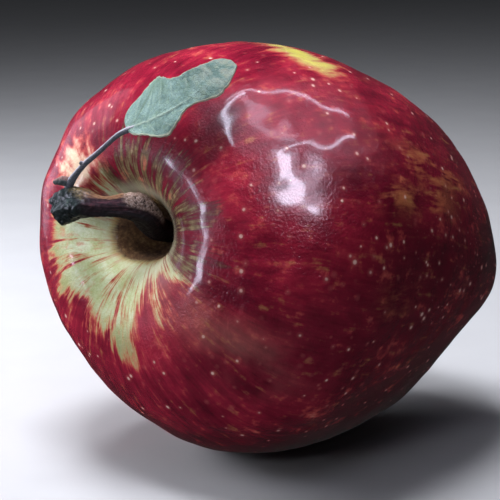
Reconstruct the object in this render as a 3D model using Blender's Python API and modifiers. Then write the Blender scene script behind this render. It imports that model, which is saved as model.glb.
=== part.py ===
"""An apple lying on its side, with its stem, one leaf and the dried calyx.

The fruit grows in a frame of its own: its axis is Z with the stem end up, and +X is the side
that ends up on top. An empty then lays everything down on the fruit's small flat spot, whose
centre is the world's origin. Lengths below are millimetres and angles are degrees.
"""
from math import atan2, cos, hypot, pi, radians, sin

import bmesh
import bpy
import numpy as np
from mathutils import Matrix, Vector

MM = 0.001
GAP = 0.3

# Pose: the axis rises a little towards the stem end
AXIS_RISE = 12.7
REST_POINT = (-34.8, -1.4, -15.2)

# Fruit: radius and height of half its outline, from the stem's seat to the calyx's seat
FRUIT_OUTLINE = (
    (0.0, 13.4), (2.4, 16.0), (4.6, 20.2), (5.9, 23.3), (8.0, 25.3), (11.2, 27.1),
    (15.4, 28.0), (22.6, 26.7), (28.6, 22.9), (33.3, 16.9), (36.3, 9.2), (37.3, 0.0),
    (36.6, -7.9), (34.5, -18.0), (31.2, -28.1), (27.0, -36.9), (22.4, -43.5), (18.6, -46.9),
    (15.9, -47.9), (12.0, -47.1), (8.0, -44.9), (4.0, -42.0), (0.0, -40.2))
WIDEST_RADIUS = 37.3
RIM_RADIUS = 15.4
RIM_HEIGHT = 28.0
LIP_RADIUS = 6.0
CROWN_RADIUS = 15.9
CROWN_DEPTH = 47.9
OUTLINE_RINGS = 54
SIDES = 64

# Fruit: how it differs from a turned form, as shares of its radius, with the side they face
LOBES = 5
LOBE_SHARE = 0.028
LOBE_WIDTH = 0.25
LOBE_TURN = 55.3
LOBE_DROP = 0.5
BASIN_RIB = 0.7
LOW_OVAL = (0.034, 131.2)
LOW_TRIANGLE = (0.028, 61.2)
HIGH_SIDE = (0.064, 273.2)
HIGH_OVAL = (0.049, 74.6)
SHOULDER_TILT = (4.3, 58.5)
MOUTH_SHIFT = (1.3, 0.8)
MOUTH_STRETCH = 0.2

# Stem: points on its centre line with the radius there, from the seat to the knob's cut end
STEM_LINE = (
    (1.3, 0.8, 10.6, 1.6), (1.3, 0.8, 15.4, 1.7), (1.5, 0.5, 19.0, 2.0), (2.2, -0.1, 21.6, 2.2),
    (3.6, -1.1, 24.1, 2.4), (4.9, -1.6, 26.6, 2.45), (5.0, -0.8, 29.0, 2.2),
    (4.5, 0.9, 30.9, 1.85), (4.2, 3.1, 32.0, 1.85), (4.1, 5.6, 32.8, 2.5),
    (3.4, 8.3, 33.4, 2.8), (1.8, 10.8, 34.1, 2.4))
STEM_SEAT = (1.3, 0.8, 10.2)
STEM_SEAT_TOP = 18.0
STEM_RINGS = 56
STEM_SIDES_LEVEL = 6

# Stem: spans are shares of its length, from the seat on
STEM_GROOVES = 5
STEM_GROOVE = 0.10
STEM_GROOVE_SPAN = (0.12, 0.30)
STEM_TWIST = 6.0
STEM_FOLDS = 7
STEM_FOLD = 0.16
STEM_FOLD_SPAN = (0.36, 0.62)
STEM_FOLD_FADE = 0.06
STEM_FOLD_SIDE = (-0.2, 0.6)
KNOB_SPAN = (0.78, 0.86)
KNOB_BUMP = 0.28
KNOB_TURN = 2.2
KNOB_TWISTS = (9.0, -14.0)

# Leaf: centre line of the stalk, with the radius there, then of the blade's midrib
STALK_LINE = (
    (4.9, 9.4, 33.9, 0.80), (6.9, 8.6, 34.4, 0.72), (8.9, 7.1, 34.5, 0.56),
    (10.7, 5.6, 34.3, 0.50), (12.9, 3.0, 34.1, 0.46), (15.4, 0.0, 34.0, 0.42),
    (17.2, -2.5, 33.9, 0.45), (18.0, -4.3, 33.8, 0.50))
MIDRIB_LINE = (
    (18.0, -4.3, 33.8), (20.2, -9.4, 33.2), (23.3, -13.5, 31.4), (27.5, -15.5, 28.1),
    (30.9, -16.5, 24.0))
MIDRIB_RADII = (0.52, 0.36)
STIPULE_LINE = (
    (7.2, 8.3, 34.4, 0.75), (7.3, 9.6, 34.8, 0.85), (7.0, 11.0, 35.1, 0.62),
    (6.7, 12.0, 35.4, 0.34))
NODE_BUMP = (
    (10.9, 5.9, 34.6, 0.42), (11.15, 6.1, 34.9, 0.25))
STALK_RINGS = 24
MIDRIB_RINGS = 18
MIDRIB_SAMPLES = 60
STIPULE_RINGS = 8
LEAF_SCAR_RADIUS = 1.15
LEAF_SCAR_LENGTH = 4.0
FRUIT_MIDDLE = (0.0, 0.0, 5.0)

# Leaf: rows of the blade, from base to tip. Each holds a distance along the midrib, then where
# the left and the right edge lie, as a distance along it and one across from it
BLADE_OUTLINE = (
    (0.0, -0.7, 0.35, 0.1, 0.45), (0.6, -1.8, 2.4, 0.9, 1.1), (1.5, -2.1, 4.6, 2.0, 1.8),
    (3.0, -1.0, 6.9, 3.7, 2.5), (5.0, 1.6, 8.8, 5.6, 3.3), (8.0, 6.8, 8.5, 8.3, 4.0),
    (11.0, 11.2, 7.1, 10.7, 2.2), (14.0, 14.4, 5.3, 13.3, 1.6), (17.0, 17.2, 4.1, 16.4, 2.9),
    (19.5, 19.8, 3.6, 18.9, 2.6), (21.5, 22.0, 3.0, 21.2, 1.4), (22.7, 22.8, 1.7, 22.7, 0.2))
BLADE_THICKNESS = 0.65
BLADE_ROWS = 31
BLADE_COLUMNS = 5
EDGE_WAVE = 0.45
EDGE_WAVES = 5
EDGE_WAVE_SHIFT = 1.5
SIDE_VEINS = 7
SIDE_VEIN_DEPTH = 0.10
SIDE_VEIN_SLANT = 0.8
TOOTH = 0.14

# Calyx: the remains of the flower's cup, seated in the fruit, with sepals and stamens on it
CALYX_TOP = -37.6
CALYX_NECK = ((0.0, 0.9), (1.2, 1.3))
CALYX_RADIUS = 2.3
CALYX_EDGE = (0.8, 0.3)
CALYX_FACE = -41.6
CALYX_RINGS = 8
SEPALS = 5
SEPAL_LENGTH = 5.1
SEPAL_WIDTH = 3.2
SEPAL_THICKNESS = 0.6
SEPAL_ROOT = 2.0
SEPAL_SINK = 0.9
SEPAL_TAPER = 0.86
SEPAL_LEAN = 0.9
SEPAL_CURL = 2.6
SEPAL_TIP_LIFT = 1.1
SEPAL_CUP = 0.45
SEPAL_CRUMPLE = 0.12
SEPAL_ROWS = 8
SEPAL_COLUMNS = 4
STAMENS = 9
STAMEN_LENGTH = 2.6
STAMEN_RADIUS = 0.32
STAMEN_RING = (0.95, 0.55)
STAMEN_SPREAD = 0.3
STAMEN_TWIST = 0.25

SEAT_SIDES = 24
FLOOR_CUTTER_SIZE = 60.0
SHARP_ANGLE = 50.0
SKIN_COLOUR = (0.36, 0.03, 0.06)
BARK_COLOUR = (0.10, 0.07, 0.05)
LEAF_COLOUR = (0.33, 0.42, 0.36)
CALYX_COLOUR = (0.16, 0.11, 0.06)


def smooth_line(points, count):
    """Evenly spaced points on the natural cubic spline through the given ones."""
    knots = np.asarray(points, float)
    place = np.concatenate([[0.0], np.cumsum(np.linalg.norm(np.diff(knots[:, :3], axis=0), axis=1))])
    step = np.diff(place)
    slope = np.diff(knots, axis=0) / step[:, None]
    matrix = np.eye(len(knots))
    right = np.zeros_like(knots)
    for i in range(1, len(knots) - 1):
        matrix[i, i - 1:i + 2] = step[i - 1], 2 * (step[i - 1] + step[i]), step[i]
        right[i] = 6 * (slope[i] - slope[i - 1])
    bend = np.linalg.solve(matrix, right)
    line = []
    for at in np.linspace(0.0, place[-1], count):
        i = min(np.searchsorted(place, at, side="right") - 1, len(step) - 1)
        a, b = place[i + 1] - at, at - place[i]
        curved = (bend[i] * a ** 3 + bend[i + 1] * b ** 3) / (6 * step[i])
        before = (knots[i] / step[i] - bend[i] * step[i] / 6) * a
        after = (knots[i + 1] / step[i] - bend[i + 1] * step[i] / 6) * b
        line.append(curved + before + after)
    return np.array(line)


def ease(value, start, end):
    """0 before start, 1 after end, and smooth between."""
    t = min(max((value - start) / (end - start), 0.0), 1.0)
    return t * t * (3 - 2 * t)


def ripple(angle, folds, turn):
    return cos(folds * (angle - radians(turn)))


def grown(x, y, height):
    """Moves a point of the turned form to where it lies on the uneven fruit."""
    radius, angle = hypot(x, y), atan2(y, x)
    low = ease(-height, -0.3 * CROWN_DEPTH, CROWN_DEPTH)
    high = ease(height, -0.3 * RIM_HEIGHT, RIM_HEIGHT)
    lobes = ripple(angle, LOBES, LOBE_TURN)
    lobes += LOBE_WIDTH * (ripple(angle, 2 * LOBES, LOBE_TURN) - 1) / 2
    swell = low * LOBE_SHARE * lobes
    swell += low * LOW_OVAL[0] * ripple(angle, 2, LOW_OVAL[1])
    swell += low * LOW_TRIANGLE[0] * ripple(angle, 3, LOW_TRIANGLE[1])
    swell += high * HIGH_SIDE[0] * ripple(angle, 1, HIGH_SIDE[1])
    swell += high * HIGH_OVAL[0] * ripple(angle, 2, HIGH_OVAL[1])
    inward = min(radius / CROWN_RADIUS, 1.0)
    rib = BASIN_RIB * sin(pi * inward) ** 2 if height < 0 else 0.0
    tilt = SHOULDER_TILT[0] * ripple(angle, 1, SHOULDER_TILT[1]) * radius / WIDEST_RADIUS
    mouth = 1 - ease(radius, LIP_RADIUS, RIM_RADIUS) if height > 0 else 0.0
    radius *= 1 + swell
    return Vector((
        radius * cos(angle) + mouth * MOUTH_SHIFT[0],
        radius * sin(angle) * (1 + MOUTH_STRETCH * mouth) + mouth * MOUTH_SHIFT[1],
        height - low * lobes * (LOBE_DROP * inward + rib) + high * tilt))


def material(name, colour, roughness):
    """A plain finish for the solid."""
    finish = bpy.data.materials.new(name)
    finish.use_nodes = True
    shader = finish.node_tree.nodes["Principled BSDF"]
    shader.inputs["Base Color"].default_value = (*colour, 1.0)
    shader.inputs["Roughness"].default_value = roughness
    shader.inputs["Metallic"].default_value = 0.0
    return finish


def add_object(name, mesh, collection):
    obj = bpy.data.objects.new(name, mesh)
    collection.objects.link(obj)
    return obj


def evaluated_mesh(obj):
    """The object's mesh with its modifiers applied."""
    bpy.context.view_layer.update()
    graph = bpy.context.evaluated_depsgraph_get()
    return bpy.data.meshes.new_from_object(obj.evaluated_get(graph), depsgraph=graph)


def mesh_from(build, name):
    """A mesh filled by a function that works on a bmesh."""
    work = bmesh.new()
    build(work)
    mesh = bpy.data.meshes.new(name)
    work.to_mesh(mesh)
    work.free()
    return mesh


def move_vertices(mesh, rule):
    """Moves each vertex, given and returned in millimetres."""
    for vertex in mesh.vertices:
        vertex.co = rule(vertex.co / MM) * MM


def tube(name, line, sides_level, collection):
    """A closed tube along points that carry their own radius as a fourth number."""
    curve = bpy.data.curves.new(name, "CURVE")
    curve.dimensions = "3D"
    curve.bevel_depth = MM
    curve.bevel_resolution = sides_level
    curve.use_fill_caps = True
    spline = curve.splines.new("POLY")
    spline.points.add(len(line) - 1)
    for point, (x, y, z, radius) in zip(spline.points, line):
        point.co = (x * MM, y * MM, z * MM, 1.0)
        point.radius = radius
    guide = add_object(name + "_curve", curve, collection)
    mesh = evaluated_mesh(guide)
    bpy.data.objects.remove(guide)
    weld(mesh)
    return mesh


def weld(mesh):
    work = bmesh.new()
    work.from_mesh(mesh)
    bmesh.ops.remove_doubles(work, verts=work.verts, dist=0.002 * MM)
    bmesh.ops.recalc_face_normals(work, faces=work.faces)
    work.to_mesh(mesh)
    work.free()


def joined(name, meshes, collection):
    """One body made of several by a Boolean union on a collection."""
    pieces = bpy.data.collections.new(name + "_pieces")
    bpy.context.scene.collection.children.link(pieces)
    base = add_object(name, meshes[0], collection)
    for number, mesh in enumerate(meshes[1:]):
        add_object(f"{name}_piece_{number}", mesh, pieces)
    union = base.modifiers.new("union", "BOOLEAN")
    union.operation = "UNION"
    union.operand_type = "COLLECTION"
    union.collection = pieces
    mesh = evaluated_mesh(base)
    for piece in list(pieces.objects) + [base]:
        bpy.data.objects.remove(piece)
    bpy.data.collections.remove(pieces)
    return mesh


def cut(obj, cutter):
    """Takes a cutter's shape out of an object and hides the cutter."""
    cutter.hide_render = True
    cutter.display_type = "WIRE"
    difference = obj.modifiers.new("cut_" + cutter.name, "BOOLEAN")
    difference.operation = "DIFFERENCE"
    difference.object = cutter


def rod(name, start, end, radius, sides, collection):
    """A straight cutter between two points."""
    start, end = Vector(start) * MM, Vector(end) * MM
    along = end - start

    def build(work):
        bmesh.ops.create_cone(work, cap_ends=True, segments=sides, radius1=radius * MM,
                              radius2=radius * MM, depth=along.length)

    obj = add_object(name, mesh_from(build, name), collection)
    turn = Vector((0, 0, 1)).rotation_difference(along).to_matrix().to_4x4()
    obj.matrix_world = Matrix.Translation((start + end) / 2) @ turn
    return obj


def make_fruit(parts):
    """The turned form by a Screw modifier, then made uneven by the growth rule."""
    profile = bpy.data.meshes.new("fruit_profile")
    line = smooth_line(FRUIT_OUTLINE, OUTLINE_RINGS)
    line[[0, -1], 0] = 0.0
    edges = [(i, i + 1) for i in range(OUTLINE_RINGS - 1)]
    profile.from_pydata([(radius * MM, 0.0, height * MM) for radius, height in line], edges, [])
    turned = add_object("fruit_profile", profile, parts)
    screw = turned.modifiers.new("turn", "SCREW")
    screw.steps = screw.render_steps = SIDES
    screw.use_merge_vertices = True
    screw.merge_threshold = 0.01 * MM
    mesh = evaluated_mesh(turned)
    bpy.data.objects.remove(turned)
    move_vertices(mesh, lambda point: grown(*point))
    return add_object("fruit", mesh, parts)


def bark(line):
    """Rule that gives the stem its grooves, the folds outside its bend, and the knob's bumps."""
    middle = line[:, :3]
    along = np.gradient(middle, axis=0)

    def rule(point):
        near = int(np.argmin(np.linalg.norm(middle - np.array(point), axis=1)))
        share = near / (len(line) - 1)
        axis = Vector(along[near]).normalized()
        out = point - Vector(middle[near])
        out -= out.dot(axis) * axis
        if out.length < GAP:
            return point
        out.normalize()
        side = axis.cross(Vector((0, 1, 0.2))).normalized()
        angle = atan2(out.dot(side), out.dot(axis.cross(side)))
        groove = cos(STEM_GROOVES * angle + STEM_TWIST * share)
        lift = STEM_GROOVE * ease(share, *STEM_GROOVE_SPAN) * groove
        first, last = STEM_FOLD_SPAN
        bend = ease(share, first, first + STEM_FOLD_FADE)
        bend *= 1 - ease(share, last - STEM_FOLD_FADE, last)
        fold = sin(2 * pi * STEM_FOLDS * (share - first) / (last - first) + angle)
        lift += STEM_FOLD * bend * fold * ease(out.x - out.y, *STEM_FOLD_SIDE)
        bumps = cos(3 * angle + KNOB_TURN + KNOB_TWISTS[0] * share)
        bumps += cos(5 * angle + KNOB_TWISTS[1] * share) / 2
        lift += KNOB_BUMP * ease(share, *KNOB_SPAN) * bumps
        return point + out * lift
    return rule


def make_stem(parts, cutters):
    """The woody stem, with a scar on the knob where the leaf's stalk is seated."""
    line = smooth_line(STEM_LINE, STEM_RINGS)
    mesh = tube("stem", line, STEM_SIDES_LEVEL, parts)
    move_vertices(mesh, bark(line))
    stem = add_object("stem", mesh, parts)
    foot, next_point = Vector(STALK_LINE[0][:3]), Vector(STALK_LINE[1][:3])
    direction = (next_point - foot).normalized()
    scar = rod("leaf_scar", foot - direction * GAP, foot + direction * LEAF_SCAR_LENGTH,
               LEAF_SCAR_RADIUS, SEAT_SIDES, cutters)
    cut(stem, scar)
    return stem, scar


MIDRIB_FINE = smooth_line(MIDRIB_LINE, MIDRIB_SAMPLES)
BLADE_FINE = smooth_line(BLADE_OUTLINE, BLADE_ROWS)


def midrib_at(distance):
    """Point, direction across and facing direction of the blade at a distance along its midrib."""
    middle = MIDRIB_FINE[:, :3]
    lengths = np.concatenate([[0.0], np.cumsum(np.linalg.norm(np.diff(middle, axis=0), axis=1))])
    inside = min(max(distance, 0.0), lengths[-1])
    point = Vector([np.interp(inside, lengths, middle[:, k]) for k in range(3)])
    slopes = np.gradient(middle, lengths, axis=0)
    along = Vector([np.interp(inside, lengths, slopes[:, k]) for k in range(3)]).normalized()
    point += along * float(distance - inside)
    facing = point - Vector(FRUIT_MIDDLE)
    facing = (facing - facing.dot(along) * along).normalized()
    return point, facing.cross(along), facing


def blade_point(row, across):
    """Point of the blade's middle surface: across runs from 1 at the left edge to -1."""
    middle, left_along, left_across, right_along, right_across = BLADE_FINE[row]
    share = row / (BLADE_ROWS - 1)
    reach = abs(across)
    edge_along = left_along if across > 0 else right_along
    edge_across = left_across if across > 0 else -right_across
    tooth = TOOTH * reach ** 4 * (row % 2) * sin(pi * share)
    distance = middle + (edge_along - middle) * reach
    point, sideways, facing = midrib_at(distance)
    wave = EDGE_WAVE * reach ** 2 * sin(pi * EDGE_WAVES * share + EDGE_WAVE_SHIFT * across)
    vein = SIDE_VEIN_DEPTH * reach * (1 - reach) * 4
    vein *= cos(2 * pi * (SIDE_VEINS * share - SIDE_VEIN_SLANT * reach))
    fade = sin(pi * share) ** 0.5
    offset = edge_across * reach + (tooth if across > 0 else -tooth)
    return point + sideways * float(offset) + facing * float(fade * (wave - vein))


def blade_sheet(work):
    """The blade's middle surface, split into triangles so that both faces match."""
    steps = [column / BLADE_COLUMNS for column in range(-BLADE_COLUMNS, BLADE_COLUMNS + 1)]
    grid = [[work.verts.new(blade_point(row, step) * MM) for step in steps]
            for row in range(BLADE_ROWS)]
    for upper, lower in zip(grid, grid[1:]):
        for column in range(len(steps) - 1):
            work.faces.new((upper[column], lower[column], lower[column + 1]))
            work.faces.new((upper[column], lower[column + 1], upper[column + 1]))


def make_leaf(parts):
    """Blade, midrib, stalk and stipule, which grew as one piece."""
    sheet = add_object("blade", mesh_from(blade_sheet, "blade"), parts)
    solid = sheet.modifiers.new("thickness", "SOLIDIFY")
    solid.thickness = BLADE_THICKNESS * MM
    solid.offset = 0.0
    blade = evaluated_mesh(sheet)
    bpy.data.objects.remove(sheet)
    weld(blade)
    rib = smooth_line(MIDRIB_LINE, MIDRIB_RINGS)[:-1]
    radii = np.linspace(*MIDRIB_RADII, len(rib))[:, None]
    stalk = smooth_line(STALK_LINE, STALK_RINGS)[:-1]
    meshes = [
        tube("stalk", np.concatenate([stalk, np.hstack([rib, radii])]), 2, parts),
        blade,
        tube("stipule", smooth_line(STIPULE_LINE, STIPULE_RINGS), 2, parts),
        tube("bump", NODE_BUMP, 1, parts)]
    return add_object("leaf", joined("leaf", meshes, parts), parts)


def sepal_sheet(turn):
    """A dried sepal, which leans in over the basin and curls out again at its tip."""
    def build(work):
        grid = []
        for row in range(SEPAL_ROWS):
            t = row / (SEPAL_ROWS - 1)
            half = SEPAL_WIDTH / 2 * (1 - SEPAL_TAPER * t ** 1.3)
            lean = SEPAL_ROOT - SEPAL_LEAN * sin(pi * min(t * 1.25, 1.0)) + SEPAL_CURL * t ** 3
            height = CALYX_FACE + SEPAL_SINK - SEPAL_LENGTH * sin(pi / 2 * t ** 0.9)
            height += SEPAL_TIP_LIFT * t ** 4
            line = []
            for column in range(SEPAL_COLUMNS + 1):
                s = 2 * column / SEPAL_COLUMNS - 1
                out = lean - SEPAL_CUP * s * s * (1 - t)
                out += SEPAL_CRUMPLE * sin(9 * t + 2 * s + turn)
                line.append(work.verts.new(turned(out, half * s, height, turn) * MM))
            grid.append(line)
        for upper, lower in zip(grid, grid[1:]):
            for column in range(SEPAL_COLUMNS):
                work.faces.new((upper[column], lower[column], lower[column + 1]))
                work.faces.new((upper[column], lower[column + 1], upper[column + 1]))
    return build


def turned(out, sideways, height, turn):
    """A point given by its distances in a frame turned about the fruit's axis."""
    return Vector((
        out * cos(turn) - sideways * sin(turn),
        out * sin(turn) + sideways * cos(turn),
        height))


def sepal(turn, parts):
    sheet = add_object("sepal", mesh_from(sepal_sheet(turn), "sepal"), parts)
    solid = sheet.modifiers.new("thickness", "SOLIDIFY")
    solid.thickness = SEPAL_THICKNESS * MM
    solid.offset = 0.0
    mesh = evaluated_mesh(sheet)
    bpy.data.objects.remove(sheet)
    weld(mesh)
    return mesh


def stamen(number, parts):
    turn = 2 * pi * number / STAMENS
    foot_radius, tip_radius = STAMEN_RING
    tip_radius += STAMEN_SPREAD * sin(2.3 * number)
    foot = turned(foot_radius, 0.0, CALYX_FACE + STAMEN_LENGTH / 4, turn)
    tip = turned(tip_radius, 0.0, CALYX_FACE - STAMEN_LENGTH, turn + STAMEN_TWIST)
    middle = (foot + tip) / 2
    line = [(*point, STAMEN_RADIUS) for point in (foot, middle, tip)]
    return tube("stamen", line, 0, parts)


def make_calyx(parts):
    """The five sepals and the stamens' stubs on the remains of the flower's cup."""
    edge_height, edge_round = CALYX_EDGE
    line = [(0.0, 0.0, CALYX_TOP - down, radius) for down, radius in CALYX_NECK]
    line.append((0.0, 0.0, CALYX_FACE + edge_height, CALYX_RADIUS))
    line.append((0.0, 0.0, CALYX_FACE, CALYX_RADIUS - edge_round))
    meshes = [tube("cup", smooth_line(line, CALYX_RINGS), STEM_SIDES_LEVEL, parts)]
    for number in range(SEPALS):
        turn = 2 * pi * (number + 0.5) / SEPALS + radians(LOBE_TURN)
        meshes.append(sepal(turn + SEPAL_CRUMPLE * sin(3.0 * number), parts))
    meshes += [stamen(number, parts) for number in range(STAMENS)]
    return add_object("calyx", joined("calyx", meshes, parts), parts)


def lay_down(objects):
    """Turns the fruit's frame onto its side and puts the flat spot's centre at the origin."""
    pose = bpy.data.objects.new("lying_pose", None)
    bpy.context.scene.collection.objects.link(pose)
    turn = Matrix.Rotation(radians(AXIS_RISE - 90.0), 4, "Y")
    pose.matrix_world = turn @ Matrix.Translation(-Vector(REST_POINT) * MM)
    bpy.context.view_layer.update()
    for obj in objects:
        obj.parent = pose


def floor_cutter(cutters):
    """A block below the resting plane, which leaves the fruit's flat spot."""
    def build(work):
        bmesh.ops.create_cube(work, size=FLOOR_CUTTER_SIZE * MM)

    block = add_object("floor_cutter", mesh_from(build, "floor_cutter"), cutters)
    block.location = (0, 0, -FLOOR_CUTTER_SIZE / 2 * MM)
    return block


def finish(obj, look):
    obj.data.materials.clear()
    obj.data.materials.append(look)
    obj.data.shade_smooth()
    obj.data.set_sharp_from_angle(angle=radians(SHARP_ANGLE))


def main():
    for obj in list(bpy.data.objects):
        bpy.data.objects.remove(obj)
    parts = bpy.data.collections.new("apple")
    cutters = bpy.data.collections.new("cutters")
    for collection in (parts, cutters):
        bpy.context.scene.collection.children.link(collection)

    fruit = make_fruit(parts)
    stem, scar = make_stem(parts, cutters)
    leaf = make_leaf(parts)
    calyx = make_calyx(parts)

    seat_top = Vector((STEM_SEAT[0], STEM_SEAT[1], STEM_SEAT_TOP))
    stem_seat = rod("stem_seat", STEM_SEAT, seat_top, STEM_LINE[1][3] + GAP, SEAT_SIDES, cutters)
    calyx_seat = rod("calyx_seat", (0, 0, CALYX_FACE - 1), (0, 0, CALYX_TOP + GAP),
                     CALYX_RADIUS + GAP, SEAT_SIDES, cutters)
    lay_down([fruit, stem, leaf, calyx, scar, stem_seat, calyx_seat])
    cut(fruit, stem_seat)
    cut(fruit, calyx_seat)
    cut(fruit, floor_cutter(cutters))

    finish(fruit, material("skin", SKIN_COLOUR, 0.28))
    finish(stem, material("bark", BARK_COLOUR, 0.75))
    finish(leaf, material("leaf_felt", LEAF_COLOUR, 0.85))
    finish(calyx, material("dried_calyx", CALYX_COLOUR, 0.9))


main()
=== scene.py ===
from math import pi, radians

import bmesh
import bpy
import numpy as np
from mathutils import Matrix, Vector
from mathutils.kdtree import KDTree


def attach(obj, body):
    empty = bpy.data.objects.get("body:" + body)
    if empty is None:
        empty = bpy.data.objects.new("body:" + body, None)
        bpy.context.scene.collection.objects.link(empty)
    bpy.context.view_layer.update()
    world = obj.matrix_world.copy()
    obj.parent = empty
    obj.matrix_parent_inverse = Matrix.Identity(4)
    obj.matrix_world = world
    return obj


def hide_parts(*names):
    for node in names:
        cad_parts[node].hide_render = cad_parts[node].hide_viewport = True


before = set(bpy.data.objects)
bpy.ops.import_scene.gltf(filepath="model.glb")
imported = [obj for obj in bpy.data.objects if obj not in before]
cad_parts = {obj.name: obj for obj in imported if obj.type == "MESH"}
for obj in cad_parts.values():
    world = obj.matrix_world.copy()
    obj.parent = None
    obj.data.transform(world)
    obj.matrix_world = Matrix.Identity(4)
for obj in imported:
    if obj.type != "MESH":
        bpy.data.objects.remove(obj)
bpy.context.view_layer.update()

# The fruit's own frame is the one its source uses: millimetres, its axis is Z with the stem end
# up, and +X is the side that lies on top. The shapes repeat the source's formulas with more detail
MM = 0.001
AXIS_RISE = 12.7
REST_POINT = (-34.8, -1.4, -15.2)

FRUIT_OUTLINE = (
    (0.0, 13.4), (2.4, 16.0), (4.6, 20.2), (5.9, 23.3), (8.0, 25.3), (11.2, 27.1),
    (15.4, 28.0), (22.6, 26.7), (28.6, 22.9), (33.3, 16.9), (36.3, 9.2), (37.3, 0.0),
    (36.6, -7.9), (34.5, -18.0), (31.2, -28.1), (27.0, -36.9), (22.4, -43.5), (18.6, -46.9),
    (15.9, -47.9), (12.0, -47.1), (8.0, -44.9), (4.0, -42.0), (0.0, -40.2))
WIDEST_RADIUS = 37.3
RIM_RADIUS = 15.4
RIM_HEIGHT = 28.0
LIP_RADIUS = 6.0
CROWN_RADIUS = 15.9
CROWN_DEPTH = 47.9
FRUIT_RINGS = 300
FRUIT_SIDES = 320
LOBES = 5
LOBE_SHARE = 0.028
LOBE_WIDTH = 0.25
LOBE_TURN = 55.3
LOBE_DROP = 0.5
BASIN_RIB = 0.7
LOW_OVAL = (0.034, 131.2)
LOW_TRIANGLE = (0.028, 61.2)
HIGH_SIDE = (0.064, 273.2)
HIGH_OVAL = (0.049, 74.6)
SHOULDER_TILT = (4.3, 58.5)
MOUTH_SHIFT = (1.3, 0.8)
MOUTH_STRETCH = 0.2

STEM_LINE = (
    (1.3, 0.8, 10.6, 1.6), (1.3, 0.8, 15.4, 1.7), (1.5, 0.5, 19.0, 2.0), (2.2, -0.1, 21.6, 2.2),
    (3.6, -1.1, 24.1, 2.4), (4.9, -1.6, 26.6, 2.45), (5.0, -0.8, 29.0, 2.2),
    (4.5, 0.9, 30.9, 1.85), (4.2, 3.1, 32.0, 1.85), (4.1, 5.6, 32.8, 2.5),
    (3.4, 8.3, 33.4, 2.8), (1.8, 10.8, 34.1, 2.4))
STEM_RINGS = 260
STEM_SIDES = 112

STALK_LINE = (
    (4.9, 9.4, 33.9, 0.80), (6.9, 8.6, 34.4, 0.72), (8.9, 7.1, 34.5, 0.56),
    (10.7, 5.6, 34.3, 0.50), (12.9, 3.0, 34.1, 0.46), (15.4, 0.0, 34.0, 0.42),
    (17.2, -2.5, 33.9, 0.45), (18.0, -4.3, 33.8, 0.50))
MIDRIB_LINE = (
    (18.0, -4.3, 33.8), (20.2, -9.4, 33.2), (23.3, -13.5, 31.4), (27.5, -15.5, 28.1),
    (30.9, -16.5, 24.0))
STIPULE_LINE = (
    (7.2, 8.3, 34.4, 0.75), (7.3, 9.6, 34.8, 0.85), (7.0, 11.0, 35.1, 0.62),
    (6.7, 12.0, 35.4, 0.34))
NODE_BUMP = ((10.9, 5.9, 34.6, 0.42), (11.15, 6.1, 34.9, 0.25))
FRUIT_MIDDLE = (0.0, 0.0, 5.0)
BLADE_OUTLINE = (
    (0.0, -0.7, 0.35, 0.1, 0.45), (0.6, -1.8, 2.4, 0.9, 1.1), (1.5, -2.1, 4.6, 2.0, 1.8),
    (3.0, -1.0, 6.9, 3.7, 2.5), (5.0, 1.6, 8.8, 5.6, 3.3), (8.0, 6.8, 8.5, 8.3, 4.0),
    (11.0, 11.2, 7.1, 10.7, 2.2), (14.0, 14.4, 5.3, 13.3, 1.6), (17.0, 17.2, 4.1, 16.4, 2.9),
    (19.5, 19.8, 3.6, 18.9, 2.6), (21.5, 22.0, 3.0, 21.2, 1.4), (22.7, 22.8, 1.7, 22.7, 0.2))
EDGE_WAVE = 0.45
EDGE_WAVES = 5
EDGE_WAVE_SHIFT = 1.5
BLADE_ROWS = 200
BLADE_COLUMNS = 81
BLADE_HALF = 0.30

CALYX_CUP = (
    (0.0, 0.0, -37.6, 0.9), (0.0, 0.0, -38.8, 1.3), (0.0, 0.0, -40.8, 2.3), (0.0, 0.0, -41.6, 2.0))
CALYX_FACE = -41.6
SEPALS = 5
SEPAL_LENGTH = 5.1
SEPAL_WIDTH = 3.2
SEPAL_ROOT = 2.0
SEPAL_SINK = 0.9
SEPAL_TAPER = 0.86
SEPAL_LEAN = 0.9
SEPAL_CURL = 2.6
SEPAL_TIP_LIFT = 1.1
SEPAL_CUP = 0.45
SEPAL_CRUMPLE = 0.12
SEPAL_HALF = 0.24
SEPAL_ROWS = 70
SEPAL_COLUMNS = 25
STAMENS = 9
STAMEN_LENGTH = 2.6
STAMEN_RADIUS = 0.28
STAMEN_RING = (0.95, 0.55)
STAMEN_SPREAD = 0.3
STAMEN_TWIST = 0.25


# Shapes

def smooth_line(points, count):
    """Evenly spaced points on the natural cubic spline through the given ones."""
    knots = np.asarray(points, float)
    place = np.concatenate([[0.0], np.cumsum(np.linalg.norm(np.diff(knots[:, :3], axis=0), axis=1))])
    step = np.diff(place)
    slope = np.diff(knots, axis=0) / step[:, None]
    matrix = np.eye(len(knots))
    right = np.zeros_like(knots)
    for i in range(1, len(knots) - 1):
        matrix[i, i - 1:i + 2] = step[i - 1], 2 * (step[i - 1] + step[i]), step[i]
        right[i] = 6 * (slope[i] - slope[i - 1])
    bend = np.linalg.solve(matrix, right)
    at = np.linspace(0.0, place[-1], count)
    i = np.minimum(np.searchsorted(place, at, side="right") - 1, len(step) - 1)
    a, b = (place[i + 1] - at)[:, None], (at - place[i])[:, None]
    step = step[i][:, None]
    curved = (bend[i] * a ** 3 + bend[i + 1] * b ** 3) / (6 * step)
    before = (knots[i] / step - bend[i] * step / 6) * a
    return curved + before + (knots[i + 1] / step - bend[i + 1] * step / 6) * b


def ease(value, start, end):
    """0 before start, 1 after end, and smooth between."""
    t = np.clip((np.asarray(value, float) - start) / (end - start), 0.0, 1.0)
    return t * t * (3 - 2 * t)


def ripple(angle, folds, turn):
    return np.cos(folds * (angle - radians(turn)))


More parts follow.
